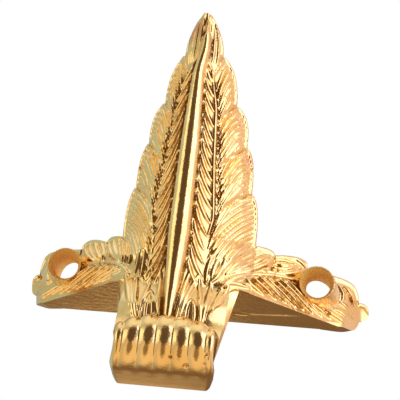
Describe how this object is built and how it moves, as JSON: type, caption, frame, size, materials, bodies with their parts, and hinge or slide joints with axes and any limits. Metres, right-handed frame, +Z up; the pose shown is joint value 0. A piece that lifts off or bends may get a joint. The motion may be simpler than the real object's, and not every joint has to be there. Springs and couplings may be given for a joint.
{
  "type": "box corner",
  "caption": "Cast corner foot for a wooden box: two leaf-carved side plates and a tall leaf on the edge, a flat seat plate, and a gadrooned scroll foot below.",
  "frame": {"origin": "the inner corner of the casting, where the box's bottom corner sits: the meeting point of the two side faces and the seat plate's top face", "axes": "+Z up the box's edge, +X and +Y inward along the box's two sides. The part's own middle line runs out of the corner along the horizontal direction halfway between -X and -Y"},
  "size_m": [0.0362, 0.0369, 0.0431],
  "materials": {
    "gold_plating": "polished gold plating on a casting"
  },
  "bodies": {
    "root": {"box_corner": "gold_plating"}
  },
  "joints": []
}
